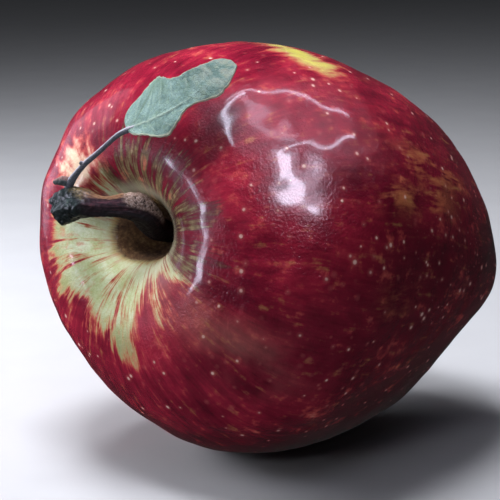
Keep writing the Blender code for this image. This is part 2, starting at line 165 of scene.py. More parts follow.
def unit(vectors):
    return vectors / np.maximum(np.linalg.norm(vectors, axis=-1, keepdims=True), 1e-9)


def waves(points, length, seed, count=28):
    """A smooth uneven field, about -2 to 2, whose hills lie about a length apart."""
    random = np.random.default_rng(seed)
    directions = unit(random.normal(size=(count, 3)))
    sizes = 2 * pi / length * random.uniform(0.7, 1.4, count)
    phases = random.uniform(0, 2 * pi, count)
    total = np.zeros(points.shape[:-1])
    for direction, size, phase in zip(directions, sizes, phases):
        total += np.cos(points @ (direction * size) + phase)
    return total / (count / 2) ** 0.5


def grown(x, y, height):
    """Moves points of the turned form to where they lie on the uneven fruit."""
    radius, angle = np.hypot(x, y), np.arctan2(y, x)
    low = ease(-height, -0.3 * CROWN_DEPTH, CROWN_DEPTH)
    high = ease(height, -0.3 * RIM_HEIGHT, RIM_HEIGHT)
    lobes = ripple(angle, LOBES, LOBE_TURN)
    lobes = lobes + LOBE_WIDTH * (ripple(angle, 2 * LOBES, LOBE_TURN) - 1) / 2
    swell = low * LOBE_SHARE * lobes
    swell += low * LOW_OVAL[0] * ripple(angle, 2, LOW_OVAL[1])
    swell += low * LOW_TRIANGLE[0] * ripple(angle, 3, LOW_TRIANGLE[1])
    swell += high * HIGH_SIDE[0] * ripple(angle, 1, HIGH_SIDE[1])
    swell += high * HIGH_OVAL[0] * ripple(angle, 2, HIGH_OVAL[1])
    inward = np.minimum(radius / CROWN_RADIUS, 1.0)
    rib = np.where(height < 0, BASIN_RIB * np.sin(pi * inward) ** 2, 0.0)
    tilt = SHOULDER_TILT[0] * ripple(angle, 1, SHOULDER_TILT[1]) * radius / WIDEST_RADIUS
    mouth = np.where(height > 0, 1 - ease(radius, LIP_RADIUS, RIM_RADIUS), 0.0)
    radius = radius * (1 + swell)
    return np.stack([
        radius * np.cos(angle) + mouth * MOUTH_SHIFT[0],
        radius * np.sin(angle) * (1 + MOUTH_STRETCH * mouth) + mouth * MOUTH_SHIFT[1],
        height - low * lobes * (LOBE_DROP * inward + rib) + high * tilt], axis=-1)


def lying(points):
    """Turns points from the fruit's frame to the part's frame, in metres."""
    x, y, z = np.moveaxis(np.asarray(points, float) - REST_POINT, -1, 0)
    turn = radians(AXIS_RISE - 90.0)
    return np.stack([x * np.cos(turn) + z * np.sin(turn), y, z * np.cos(turn) - x * np.sin(turn)],
                    axis=-1) * MM


def shell(name, rings, notes=None):
    """A closed mesh from loops of points, with its ends closed and notes kept as attributes."""
    rows, sides = rings.shape[:2]
    ends = np.stack([rings[0].mean(axis=0), rings[-1].mean(axis=0)])
    points = np.concatenate([rings.reshape(-1, 3), ends])
    number = np.arange(rows * sides).reshape(rows, sides)
    after = np.roll(number, -1, axis=1)
    quads = np.stack([number[:-1], after[:-1], after[1:], number[1:]], axis=-1).reshape(-1, 4)
    first = [(b, a, rows * sides) for a, b in zip(number[0], after[0])]
    last = [(a, b, rows * sides + 1) for a, b in zip(number[-1], after[-1])]
    mesh = bpy.data.meshes.new(name)
    mesh.from_pydata(lying(points).tolist(), [], quads.tolist() + first + last)
    for key, values in (notes or {}).items():
        values = np.asarray(values, float)
        flat = values.reshape(rows * sides, -1)
        caps = np.stack([flat[:sides].mean(axis=0), flat[-sides:].mean(axis=0)])
        note(mesh, key, np.concatenate([flat, caps]))
    work = bmesh.new()
    work.from_mesh(mesh)
    bmesh.ops.recalc_face_normals(work, faces=work.faces)
    work.to_mesh(mesh)
    work.free()
    mesh.shade_smooth()
    return mesh


def note(mesh, key, values):
    """Keeps a number or a vector for each vertex, for the finish to read."""
    kind = "FLOAT_VECTOR" if values.shape[1] == 3 else "FLOAT"
    layer = mesh.attributes.new(key, kind, "POINT")
    layer.data.foreach_set("vector" if kind == "FLOAT_VECTOR" else "value", values.ravel())


def notes_of(mesh, keys):
    table = {}
    for key in keys:
        layer = mesh.attributes[key]
        wide = 3 if layer.data_type == "FLOAT_VECTOR" else 1
        values = np.zeros(len(mesh.vertices) * wide)
        layer.data.foreach_get("vector" if wide == 3 else "value", values)
        table[key] = values.reshape(-1, wide)
    return table


def places(mesh):
    points = np.zeros(len(mesh.vertices) * 3)
    mesh.vertices.foreach_get("co", points)
    return points.reshape(-1, 3)


def add_object(name, mesh, finish=None):
    obj = bpy.data.objects.new(name, mesh)
    bpy.context.scene.collection.objects.link(obj)
    if finish:
        mesh.materials.clear()
        mesh.materials.append(finish)
    return obj


def joined(name, meshes, keys):
    """One body made of several by Boolean unions, each vertex keeping its nearest notes."""
    base = add_object(name, meshes[0])
    for mesh in meshes[1:]:
        other = add_object(name + "_other", mesh)
        union = base.modifiers.new("union", "BOOLEAN")
        union.operation = "UNION"
        union.solver = "EXACT"
        union.object = other
        bpy.context.view_layer.update()
        graph = bpy.context.evaluated_depsgraph_get()
        result = bpy.data.meshes.new_from_object(base.evaluated_get(graph), depsgraph=graph)
        base.modifiers.clear()
        base.data = result
        bpy.data.objects.remove(other)
    mesh = base.data
    bpy.data.objects.remove(base)
    sources = np.concatenate([places(m) for m in meshes])
    kept = [notes_of(m, keys) for m in meshes]
    tree = KDTree(len(sources))
    for number, point in enumerate(sources):
        tree.insert(point, number)
    tree.balance()
    nearest = [tree.find(point)[1] for point in places(mesh)]
    for key in keys:
        if key in mesh.attributes:
            mesh.attributes.remove(mesh.attributes[key])
        note(mesh, key, np.concatenate([table[key] for table in kept])[nearest])
    mesh.shade_smooth()
    return mesh


def tube_rings(line, sides):
    """Loops round a line whose fourth number is the radius, with the loops' outward directions."""
    middle, radius = line[:, :3], line[:, 3]
    along = unit(np.gradient(middle, axis=0))
    side = unit(np.cross(along[0], (0.0, 1.0, 0.2)))
    angles = 2 * pi * np.arange(sides) / sides
    out = []
    for direction in along:
        side = unit(side - (side @ direction) * direction)
        other = np.cross(direction, side)
        out.append(np.cos(angles)[:, None] * side + np.sin(angles)[:, None] * other)
    out = np.array(out)
    return middle[:, None] + out * radius[:, None, None], out, angles


def rounded_ends(line, first=None, last=None):
    """Shrinks the radius towards an end over a length, so that the end is round."""
    line = line.copy()
    length = np.concatenate([[0.0], np.cumsum(np.linalg.norm(np.diff(line[:, :3], axis=0), axis=1))])
    if first:
        near = np.clip(length / first, 0.0, 1.0)
        line[:, 3] *= np.sqrt(np.maximum(1 - (1 - near) ** 2, 0.004))
    if last:
        near = np.clip((length[-1] - length) / last, 0.0, 1.0)
        line[:, 3] *= np.sqrt(np.maximum(1 - (1 - near) ** 2, 0.004))
    return line


# Where the ground colour shows round the stem: azimuth, the radius that it fills, the radius
# that its streaks reach, and how much of the skin it covers near the stem
GROUND_RING = (
    (-180, 18.0, 29.0, 1.0), (-168, 18.0, 30.0, 0.98), (-156, 10.5, 28.0, 0.90),
    (-142, 8.0, 26.0, 0.80), (-125, 9.5, 25.5, 0.74), (-112, 16.0, 27.0, 0.68),
    (-90, 18.0, 26.5, 0.60),
    (-60, 17.5, 26.0, 0.60), (-30, 16.5, 25.0, 0.62), (0, 15.5, 24.0, 0.60),
    (30, 13.5, 22.5, 0.56), (55, 12.0, 21.0, 0.55), (80, 15.0, 20.5, 0.85),
    (105, 18.5, 22.5, 1.0), (130, 17.0, 25.0, 1.0), (150, 14.5, 26.0, 1.0),
    (165, 15.0, 27.0, 1.0), (180, 18.0, 29.0, 1.0))
# The side that each lies on, in degrees, and where it starts and is full
STRIPED_SIDE = (-35.0, 0.05, 0.55)
# Painted shade: on this side, low on the fruit, the blush is darkened to deep maroon where the fruit
# lies in shade
PAINTED_SHADE_SIDE = (-115.0, 0.1, 0.9)
# Millimetres along the skin from the hole to where the basin's ground starts and is full
BASIN_EDGE = (118, 138)


def blob(points, middle, sizes, turn):
    """1 in the middle of a patch and 0 outside, with a size along the fruit's length and across."""
    azimuth = np.arctan2(points[..., 1], points[..., 0])
    radius = np.hypot(points[..., 0], points[..., 1])
    middle_azimuth, middle_height = radians(middle[0]), middle[1]
    across = (np.mod(azimuth - middle_azimuth + pi, 2 * pi) - pi) * np.maximum(radius, 8.0)
    along = points[..., 2] - middle_height
    slant = radians(turn)
    a = along * np.cos(slant) + across * np.sin(slant)
    b = across * np.cos(slant) - along * np.sin(slant)
    return np.exp(-((a / sizes[0]) ** 2 + (b / sizes[1]) ** 2))


def make_fruit():
    line = smooth_line(FRUIT_OUTLINE, FRUIT_RINGS)[1:-1]
    angles = 2 * pi * np.arange(FRUIT_SIDES) / FRUIT_SIDES
    radius, height = line[:, :1], line[:, 1:] + 0 * angles
    points = grown(radius * np.cos(angles), radius * np.sin(angles), height)
    step = np.linalg.norm(np.diff(line, axis=0), axis=1)
    meridian = np.concatenate([[0.0], np.cumsum(step)])[:, None] + 0 * angles
    down = np.gradient(points, axis=0)
    round_it = np.roll(points, -1, axis=1) - np.roll(points, 1, axis=1)
    out = unit(np.cross(down, round_it))
    outward = np.sign((out * points).sum(axis=-1).mean())
    body = ease(radius, 8.0, 22.0) + 0 * angles
    lift = 0.10 * waves(points, 13.0, 3) + 0.035 * waves(points, 5.5, 4)
    lift = (lift - 0.15) * body
    surface = points + out * outward * lift[..., None]
    azimuth = np.arctan2(points[..., 1], points[..., 0])
    reach = np.hypot(points[..., 0], points[..., 1])
    ring = np.array(GROUND_RING, float)
    inner = np.interp(np.degrees(azimuth), ring[:, 0], ring[:, 1])
    outer = np.interp(np.degrees(azimuth), ring[:, 0], ring[:, 2])
    fill = np.interp(np.degrees(azimuth), ring[:, 0], ring[:, 3])
    top = points[..., 2] > 5
    ground = np.where(top, 1 - 0.45 * ease(reach, inner - 2, inner + 2)
                      - 0.55 * ease(reach, inner + 1, outer), 0.0) * fill
    ground = np.maximum(ground, 1.15 * blob(points, (-16, 3.5), (6.5, 13.0), 0))
    cream = blob(points, (55, 29.5), (7.0, 5.5), 0) * ease(reach, 12.0, 15.0)
    cream *= 1.1 * (1 - ease(reach, 19.0, 24.5))
    facing, start, end = STRIPED_SIDE
    striped = ease(ripple(azimuth, 1, facing), start, end) * top
    # Painted shade mask: full on the low side facing azimuth -115, fading out up the fruit
    facing, start, end = PAINTED_SHADE_SIDE
    deep = ease(ripple(azimuth, 1, facing), start, end) * (1 - ease(points[..., 2], -2.0, 24.0))
    ground = np.maximum(ground, 0.62 * ease(meridian, *BASIN_EDGE))
    orange = blob(points, (-57, -12.0), (9, 3.0), 0) + blob(points, (-67, -5.0), (10, 2.6), 0)
    orange += 0.5 * blob(points, (-94, -2.0), (4, 3), 0)
    dull = blob(points, (-119, 21.0), (8, 5), 0)
    # Painted shadow: the russet reaches further out on this side of the hole, where the stem's shadow
    # falls
    left = blob(points, (125, 30.0), (40.0, 7.0), 0)
    russet = np.where(top, 1 - ease(meridian - 2.2 * left, 8.0, 12.2), 0.0)
    # Painted highlight: a pale ring along the lip of the hole, where the light catches its edge
    lip = np.where(top, np.exp(-((meridian - 13.0) / 1.6) ** 2), 0.0)
    keep = np.stack([np.cos(azimuth), np.sin(azimuth), meridian], axis=-1)
    mesh = shell("apple_fruit", surface, {
        "place": points, "turn": keep, "ground": ground, "orange": np.minimum(orange, 1.0),
        "dull": dull, "russet": russet, "cream": cream, "striped": striped, "deep": deep,
        "lip": lip})
    for vertex in mesh.vertices:
        vertex.co.z = max(vertex.co.z, 0.0)
    return mesh


def make_stem():
    line = smooth_line(STEM_LINE, STEM_RINGS)
    rings, out, angles = tube_rings(line, STEM_SIDES)
    share = np.linspace(0, 1, STEM_RINGS)[:, None] + 0 * angles
    angle = angles[None, :] + 0 * share
    lift = 0.10 * ease(share, 0.12, 0.30) * np.cos(5 * angle + 6 * share)
    bend = ease(share, 0.34, 0.40) * (1 - ease(share, 0.56, 0.64))
    top_side = ease(out[..., 0] - 0.45 * out[..., 1], 0.1, 0.8)
    lift += 0.05 * bend * top_side * np.sin(2 * pi * 7 * (share - 0.36) / 0.26 + angle)
    knob = ease(share, 0.78, 0.86)
    lift += 0.27 * knob * (np.cos(3 * angle + 2.2 + 9 * share) + np.cos(5 * angle - 14 * share) / 2)
    lift -= 0.14 * np.exp(-((share - 0.66) / 0.05) ** 2)
    grain = np.stack([2.2 * np.cos(angle), 2.2 * np.sin(angle), 9 * share], axis=-1)
    lift += 0.045 * waves(grain, 1.2, 11) + 0.03 * waves(rings, 0.8, 12) * (1 + knob)
    crinkle = np.abs(waves(rings, 0.9, 14, 60) + 0.3 * waves(rings, 0.45, 16, 60))
    lift += 0.15 * bend * top_side * (np.minimum(crinkle, 0.9) - 0.5)
    surface = rings + out * lift[..., None]
    end = ease(share, 0.985, 1.0)
    axis = unit(line[-1, :3] - line[-3, :3])
    surface += (0.25 * waves(rings, 1.6, 15) * end)[..., None] * axis * 0.5
    # How much a point faces up; the bark finish paints light and shade from it
    upward = out[..., 0] * 0.97 + 0.2 * out[..., 2]
    return shell("apple_stem", surface, {
        "place": rings, "share": share[..., None], "upward": upward[..., None],
        "bend": (bend * top_side)[..., None], "crinkle": crinkle[..., None], "wind": np.stack(
            [2 * np.cos(angle), 2 * np.sin(angle), 14 * share], axis=-1)})


MIDRIB_FINE = smooth_line(MIDRIB_LINE, 240)


def midrib_at(distance):
    """Points on the midrib with the directions across the blade and away from the fruit."""
    lengths = np.concatenate(
        [[0.0], np.cumsum(np.linalg.norm(np.diff(MIDRIB_FINE, axis=0), axis=1))])
    inside = np.clip(distance, 0.0, lengths[-1])
    slopes = np.gradient(MIDRIB_FINE, lengths, axis=0)
    point = np.stack([np.interp(inside, lengths, MIDRIB_FINE[:, k]) for k in range(3)], axis=-1)
    along = unit(np.stack([np.interp(inside, lengths, slopes[:, k]) for k in range(3)], axis=-1))
    point = point + along * (distance - inside)[..., None]
    facing = point - FRUIT_MIDDLE
    facing = unit(facing - (facing * along).sum(axis=-1, keepdims=True) * along)
    return point, np.cross(facing, along), facing


def make_blade():
    rows = smooth_line(BLADE_OUTLINE, BLADE_ROWS)
    middle, left_along, left_across, right_along, right_across = [
        column[:, None] for column in rows.T]
    share, across = np.meshgrid(
        np.linspace(0, 1, BLADE_ROWS), np.linspace(1, -1, BLADE_COLUMNS), indexing="ij")
    reach = np.abs(across)
    edge_along = np.where(across > 0, left_along, right_along)
    edge_across = np.where(across > 0, left_across, -right_across)
    distance = middle + (edge_along - middle) * reach
    nick = 0.07 * reach ** 6 * waves(np.stack([share * 30, across, 0 * share], axis=-1), 1.6, 21)
    point, sideways, facing = midrib_at(distance)
    wave = EDGE_WAVE * reach ** 2 * np.sin(pi * EDGE_WAVES * share + EDGE_WAVE_SHIFT * across)
    phase = 8 * share - 0.9 * reach
    to_vein = np.abs(phase - np.round(phase))
    vein = np.exp(-(to_vein / 0.10) ** 2) * reach * (1 - reach ** 3) * 1.6
    rib = np.exp(-(reach * np.abs(edge_across) / 0.35) ** 2) * (1 - ease(share, 0.45, 0.9))
    fade = np.sin(pi * share) ** 0.5
    offset = edge_across * reach + np.sign(across) * nick * fade
    lumps = 0.05 * waves(point, 2.2, 22) + 0.03 * waves(point, 0.9, 23)
    surface = point + sideways * offset[..., None] + facing * (fade * (wave + lumps))[..., None]
    thick = BLADE_HALF * (1 - 0.45 * reach ** 8)
    outer = surface + facing * (thick + fade * (0.07 * vein + 0.16 * rib))[..., None]
    inner = surface - facing * (thick + fade * (0.06 * vein))[..., None]
    rings = np.concatenate([outer, inner[:, ::-1]], axis=1)
    both = [np.concatenate([value, value[:, ::-1]], axis=1)[..., None]
            for value in (share, across, np.maximum(vein, rib))]
    return shell("blade", rings, {
        "place": rings, "share": both[0], "across": both[1], "vein": both[2],
        "stalk": 0 * both[0]})


def make_tube(name, line, sides, seed, rough=0.02, tone=0.0):
    rings, out, angles = tube_rings(line, sides)
    grain = np.stack([2 * np.cos(angles)[None, :] + 0 * rings[..., 0],
                      2 * np.sin(angles)[None, :] + 0 * rings[..., 0],
                      np.linspace(0, 1, len(line))[:, None] * 6 + 0 * angles], axis=-1)
    lift = rough * waves(grain, 1.4, seed) + 0.5 * rough * waves(rings, 0.6, seed + 1)
    surface = rings + out * (lift * (line[:, 3] / line[:, 3].max())[:, None])[..., None]
    flat = np.ones(rings.shape[:2] + (1,))
    # For a stalk, across is how much a point faces up; the leaf finish paints light and shade from it
    return shell(name, surface, {
        "place": rings, "share": flat * tone, "across": (out @ (1.0, 0.2, 0.3))[..., None],
        "vein": 0 * flat, "stalk": flat})


def make_leaf():
    stalk = smooth_line(STALK_LINE, 150)
    rib = smooth_line(MIDRIB_LINE, 90)[1:46]
    radii = np.linspace(0.50, 0.12, len(rib))[:, None]
    meshes = [
        make_tube("stalk", rounded_ends(np.concatenate([stalk, np.hstack([rib, radii])]),
                                        last=1.0), 28, 31),
        make_blade(),
        make_tube("stipule", rounded_ends(smooth_line(STIPULE_LINE, 50), first=0.6, last=0.5),
                  24, 35, 0.05, 1.0),
        make_tube("bump", rounded_ends(smooth_line(NODE_BUMP, 12), last=0.2), 16, 37)]
    return joined("apple_leaf", meshes, ("place", "share", "across", "vein", "stalk"))


def turned(out, sideways, height, turn):
    """Points given by their distances in a frame turned about the fruit's axis."""
    return np.stack([out * np.cos(turn) - sideways * np.sin(turn),
                     out * np.sin(turn) + sideways * np.cos(turn), height + 0 * out], axis=-1)


def make_sepal(number):
    """A dried sepal, which leans in over the basin and curls out again at its tip."""
    turn = 2 * pi * (number + 0.5) / SEPALS + radians(LOBE_TURN) + SEPAL_CRUMPLE * np.sin(3.0 * number)
    t, s = np.meshgrid(np.linspace(0, 1, SEPAL_ROWS), np.linspace(1, -1, SEPAL_COLUMNS),
                       indexing="ij")
    edge = np.stack([9 * t, np.sign(s), 0 * t + number], axis=-1)
    half = SEPAL_WIDTH / 2 * (1 - SEPAL_TAPER * t ** 1.3) * (1 + 0.05 * waves(edge, 1.1, 50))
    out = SEPAL_ROOT - SEPAL_LEAN * np.sin(pi * np.minimum(t * 1.25, 1.0)) + SEPAL_CURL * t ** 3
    out += SEPAL_CRUMPLE * np.sin(9 * t + 2 * s + turn) - SEPAL_CUP * s * s * (1 - t)
    height = CALYX_FACE + SEPAL_SINK - SEPAL_LENGTH * np.sin(pi / 2 * t ** 0.9)
    height += SEPAL_TIP_LIFT * t ** 4
    sheet = turned(out, half * s, height, turn)
    out = out + 0.07 * waves(sheet, 1.5, 51)
    thick = SEPAL_HALF * (1 - 0.6 * s ** 8) * (1 - 0.5 * t ** 3)
    rings = np.concatenate([turned(out + thick, half * s, height, turn),
                            turned(out - thick, half * s, height, turn)[:, ::-1]], axis=1)
    share = np.concatenate([t, t[:, ::-1]], axis=1)[..., None]
    return shell("sepal", rings, {"place": rings, "share": share, "stamen": 0 * share})


def make_stamen(number):
    turn = 2 * pi * number / STAMENS
    foot_radius, tip_radius = STAMEN_RING
    tip_radius += STAMEN_SPREAD * np.sin(2.3 * number)
    foot = turned(np.array(foot_radius), 0.0, CALYX_FACE + STAMEN_LENGTH / 4, turn)
    tip = turned(np.array(tip_radius), 0.0, CALYX_FACE - STAMEN_LENGTH, turn + STAMEN_TWIST)
    t = np.linspace(0, 1, 24)[:, None]
    radius = STAMEN_RADIUS * (0.75 + 0.25 * np.cos(7 * t + number))
    line = rounded_ends(np.hstack([foot + (tip - foot) * t, radius]), last=0.35)
    line[:, :2] += 0.06 * np.sin(5 * t + number) * t
    rings = tube_rings(line, 12)[0]
    flat = np.ones(rings.shape[:2] + (1,))
    return shell("stamen", rings, {"place": rings, "share": flat * t[:, :, None], "stamen": flat})


def make_calyx():
    """The dried sepals and the stamens' stubs on the remains of the flower's cup."""
    rings, out = tube_rings(smooth_line(CALYX_CUP, 40), 64)[:2]
    rings = rings + out * (0.05 * waves(rings, 0.9, 52))[..., None]
    flat = np.zeros(rings.shape[:2] + (1,))
    meshes = [shell("cup", rings, {"place": rings, "share": flat, "stamen": flat})]
    meshes += [make_sepal(number) for number in range(SEPALS)]
    meshes += [make_stamen(number) for number in range(STAMENS)]
    return joined("apple_calyx", meshes, ("place", "share", "stamen"))


# Finishes

class Finish:
    """A material in the making, with short calls for the nodes that it is made of."""

    def __init__(self, name):
        self.material = bpy.data.materials.new(name)
        self.material.use_nodes = True
        self.nodes = self.material.node_tree.nodes
        self.links = self.material.node_tree.links
        self.shader = self.nodes["Principled BSDF"]

    def feed(self, socket, value):
        if isinstance(value, bpy.types.NodeSocket):
            self.links.new(value, socket)
        elif isinstance(value, tuple) and len(value) == 3 and len(socket.default_value) == 4:
            socket.default_value = (*value, 1.0)
        else:
            socket.default_value = value

    def set(self, **values):
        for key, value in values.items():
            self.feed(self.shader.inputs[key.replace("_", " ")], value)

    def node(self, kind, inputs, **settings):
        node = self.nodes.new(kind)
        for key, value in settings.items():
            setattr(node, key, value)
        for key, value in inputs.items():
            self.feed(node.inputs[key], value)
        return node

    def note(self, name, output="Fac"):
        return self.node("ShaderNodeAttribute", {}, attribute_name=name).outputs[output]

    def math(self, operation, a, b=0.5, clamp=False):
        return self.node("ShaderNodeMath", {0: a, 1: b}, operation=operation,
                         use_clamp=clamp).outputs[0]

    def times(self, a, b):
        return self.math("MULTIPLY", a, b)

    def plus(self, a, b):
        return self.math("ADD", a, b)

    def total(self, *terms):
        """The sum of values, each times its weight."""
        whole = self.times(terms[0][1], terms[0][0])
        for weight, value in terms[1:]:
            whole = self.node("ShaderNodeMath", {0: value, 1: weight, 2: whole},
                              operation="MULTIPLY_ADD").outputs[0]
        return whole

    def mix(self, share, a, b, blend="MIX"):
        return self.node("ShaderNodeMix", {0: share, 6: a, 7: b}, data_type="RGBA",
                         blend_type=blend).outputs[2]

    def smooth(self, value, low, high, start=0.0, end=1.0):
        return self.node("ShaderNodeMapRange", {0: value, 1: low, 2: high, 3: start, 4: end},
                         interpolation_type="SMOOTHSTEP").outputs[0]

    def scaled(self, vector, factors):
        return self.node("ShaderNodeVectorMath", {0: vector, 1: factors},
                         operation="MULTIPLY").outputs[0]

    def noise(self, vector, scale, detail=3.0, roughness=0.5, output="Fac"):
        return self.node("ShaderNodeTexNoise", {
            "Vector": vector, "Scale": scale, "Detail": detail, "Roughness": roughness,
        }).outputs[output]

    def cells(self, vector, scale, output="Distance", feature="F1"):
        return self.node("ShaderNodeTexVoronoi", {"Vector": vector, "Scale": scale},
                         feature=feature).outputs[output]

    def ramp(self, value, stops):
        node = self.node("ShaderNodeValToRGB", {0: value})
        ramp = node.color_ramp
        while len(ramp.elements) < len(stops):
            ramp.elements.new(0.5)
        for element, (place, colour) in zip(ramp.elements, stops):
            element.position = place
            element.color = (*colour, 1.0)
        return node.outputs[0]

    def bump(self, height, distance, strength=1.0, normal=None):
        inputs = {"Height": height, "Distance": distance, "Strength": strength}
        if normal is not None:
            inputs["Normal"] = normal
        return self.node("ShaderNodeBump", inputs).outputs[0]


# How fine each field of streaks is across the fruit and along it, with its detail and roughness
STREAKS = ((4.5, 0.07, 2.0, 0.5), (12.0, 0.13, 3.0, 0.6), (30.0, 0.12, 3.0, 0.6),
           (95.0, 0.20, 2.0, 0.6))


def skin_finish():
    """Deep crimson blush in streaks over a yellow-green ground, with pale dots and russet."""
    f = Finish("apple_skin")
    place = f.note("place", "Vector")
    wander = f.node("ShaderNodeVectorMath", {
        0: f.noise(place, 0.05, 1.0, output="Color"), 1: (0.5, 0.5, 0.5)},
        operation="SUBTRACT").outputs[0]
    turn = f.node("ShaderNodeVectorMath", {
        0: f.note("turn", "Vector"), 1: f.scaled(wander, (0.12, 0.12, 0.0))},
        operation="ADD").outputs[0]
    broad, middle, fine, hair = [
        f.math("SUBTRACT", f.noise(f.scaled(turn, (size, size, length)), 1.0, detail, rough), 0.5)
        for size, length, detail, rough in STREAKS]
    cloud = f.math("SUBTRACT", f.noise(place, 0.10, 4.0), 0.5)
    mottle = f.math("SUBTRACT", f.noise(place, 0.50, 3.0, 0.6), 0.5)
    grain = f.noise(place, 2.4, 3.0, 0.6)

    distance = f.node("ShaderNodeSeparateXYZ", {0: turn}).outputs[2]
    far = f.smooth(distance, 26.0, 34.0)
    streak = f.total((1.2, broad), (1.3, middle), (0.9, fine), (0.5, cloud), (0.4, mottle))
    bare = f.times(streak, f.smooth(distance, 26.0, 34.0, 1.15, 0.7))
    bare = f.smooth(f.total((1.0, f.note("ground")), (1.0, bare), (-0.16, far)), 0.18, 1.10)
    tone = f.total((0.5, fine), (0.5, middle), (1.1, cloud), (0.15, hair), (0.3, mottle))
    blush = f.ramp(f.plus(tone, 0.5), [
        (0.20, (0.085, 0.003, 0.012)), (0.45, (0.16, 0.006, 0.020)),
        (0.65, (0.25, 0.011, 0.030)), (0.90, (0.38, 0.036, 0.052))])
    # Painted shade: the blush turns deep maroon on the low side that lies in shade
    blush = f.mix(f.times(f.note("deep"), 0.75), blush, (0.070, 0.003, 0.010))

    open_side = open_ground(f, place, grain, bare, blush, distance)
    # The stripes round the stem, partly their own colour and partly darkened as painted shade
    striped = stripes_in_painted_shade(f, grain, fine, mottle, bare, blush)
    near = f.total((1.0, f.times(f.note("striped"), f.smooth(distance, 36.0, 30.0))), (0.8, mottle))
    colour = f.mix(f.smooth(near, 0.3, 0.7), open_side, striped)
    cream = f.total((1.0, f.note("cream")), (1.0, cloud), (1.3, mottle), (1.2, middle))
    colour = f.mix(f.times(f.smooth(cream, 0.15, 0.60), 0.75), colour, (0.45, 0.070, 0.060))
    colour = f.mix(f.times(f.smooth(cream, 0.42, 1.05), 0.85), colour, (0.62, 0.50, 0.36))
    tan = f.times(f.note("orange"), f.smooth(streak, -0.15, 0.30))
    colour = f.mix(f.times(tan, 0.75), colour, (0.44, 0.16, 0.06))
    dull = f.times(f.note("dull"), f.smooth(cloud, -0.20, 0.12))
    colour = f.mix(f.times(dull, 0.4), colour, (0.22, 0.13, 0.10))
    # Painted highlight: pale cream on the ring along the hole's lip
    colour = f.mix(f.times(f.note("lip"), 0.45), colour, (0.50, 0.50, 0.36))

    colour, dot = pale_dots(f, place, distance, colour)
    colour, rust = russet(f, place, fine, mottle, colour)
    dry = f.times(f.smooth(bare, 0.3, 0.9), f.smooth(f.note("striped"), 0.9, 0.1))
    dry = f.times(dry, f.smooth(distance, 34.0, 26.0))
    rough = f.total((1.0, f.smooth(grain, 0.3, 0.7, 0.18, 0.27)), (0.25, dry))
    rough = f.math("MAXIMUM", rough, f.times(rust, 0.85))
    coat = f.times(f.smooth(f.math("MAXIMUM", dry, rust), 0.0, 0.8, 1.0, 0.1), 0.28)
    height = f.total((0.9, grain), (0.7, f.noise(place, 0.9, 2.0)))
    normal = f.bump(height, 0.00013, 1.0)
    raised = f.total((0.6, dot), (1.0, f.times(rust, f.noise(place, 1.6, 6.0, 0.7))))
    f.set(Base_Color=colour, Roughness=rough, Normal=f.bump(raised, 0.00010, 0.7, normal),
          Coat_Weight=coat, Coat_Roughness=0.11, Specular_IOR_Level=0.12)
    return f.material


def open_ground(f, place, grain, bare, blush, distance):
    """Bare yellow-green ground that breaks up into the blush through orange."""
    green = f.ramp(f.total((1.0, f.noise(place, 0.30, 5.0, 0.6)), (0.25, grain)), [
        (0.42, (0.31, 0.36, 0.15)), (0.62, (0.43, 0.49, 0.30)), (0.85, (0.56, 0.61, 0.47))])
    # Painted shade: the bare ground darkens to olive 18 to 27 mm out along the skin from the hole, as
    # the light falls off
    green = f.mix(f.smooth(distance, 18.0, 27.0, 0.0, 0.80), green, (0.19, 0.19, 0.065))
    green = f.mix(f.smooth(distance, 38.0, 46.0, 0.0, 0.9), green, (0.52, 0.47, 0.09))
    veil = f.ramp(bare, [
        (0.0, (0.22, 0.010, 0.026)), (0.30, (0.33, 0.045, 0.042)), (0.60, (0.36, 0.19, 0.09)),
        (0.90, (0.38, 0.35, 0.17))])
    colour = f.mix(f.smooth(bare, 0.02, 0.40), blush, veil)
    return f.mix(f.smooth(bare, 0.45, 1.0), colour, green)


def stripes_in_painted_shade(f, grain, fine, mottle, bare, blush):
    """Olive and tan stripes over maroon on the wall round the stem, with colours darkened as painted
    shade of that wall.
    """
    tan = f.ramp(f.plus(f.total((0.8, fine), (0.9, mottle), (0.2, grain)), 0.4), [
        (0.30, (0.085, 0.058, 0.024)), (0.55, (0.145, 0.112, 0.054)), (0.80, (0.25, 0.21, 0.12))])
    maroon = f.mix(f.smooth(bare, 0.0, 0.25), blush, (0.085, 0.008, 0.018))
    return f.mix(f.smooth(bare, 0.14, 0.85), maroon, tan)


def pale_dots(f, place, distance, colour):
    """Small pale dots, fewer round the stem, finer and denser towards the calyx."""
    outside = f.smooth(distance, 17.0, 34.0)
    dots = f.cells(place, 0.36)
    size = f.smooth(f.noise(place, 0.25, 1.0), 0.3, 0.7, 0.08, 0.17)
    share = f.math("DIVIDE", dots, size)
    small = f.times(f.smooth(f.cells(place, 0.78), 0.16, 0.07), f.smooth(distance, 52.0, 120.0))
    dot = f.times(f.math("MAXIMUM", f.smooth(share, 1.1, 0.4), f.times(small, 0.6)), outside)
    halo = f.times(f.smooth(share, 2.2, 0.8), outside)
    colour = f.mix(f.times(halo, 0.15), colour, (0.55, 0.16, 0.14))
    return f.mix(f.times(dot, 0.70), colour, (0.70, 0.48, 0.42)), dot


def russet(f, place, fine, mottle, colour):
    """Brown felt down in the hole, olive-orange where it thins out; the brown is kept dark as painted
    shade of the hole, and reaches further on the stem's side as painted shadow of the stem.
    """
    edge = f.total((1.0, f.note("russet")), (0.6, fine), (0.5, mottle))
    colour = f.mix(f.times(f.smooth(edge, 0.05, 0.35), 0.6), colour, (0.36, 0.25, 0.075))
    rust = f.smooth(edge, 0.22, 0.72)
    # The brown is partly the russet's own colour and partly painted shade of the hole
    brown = f.ramp(f.noise(place, 1.1, 6.0, 0.7), [
        (0.30, (0.045, 0.022, 0.014)), (0.52, (0.13, 0.070, 0.034)), (0.75, (0.30, 0.19, 0.085))])
    return f.mix(rust, colour, brown), rust


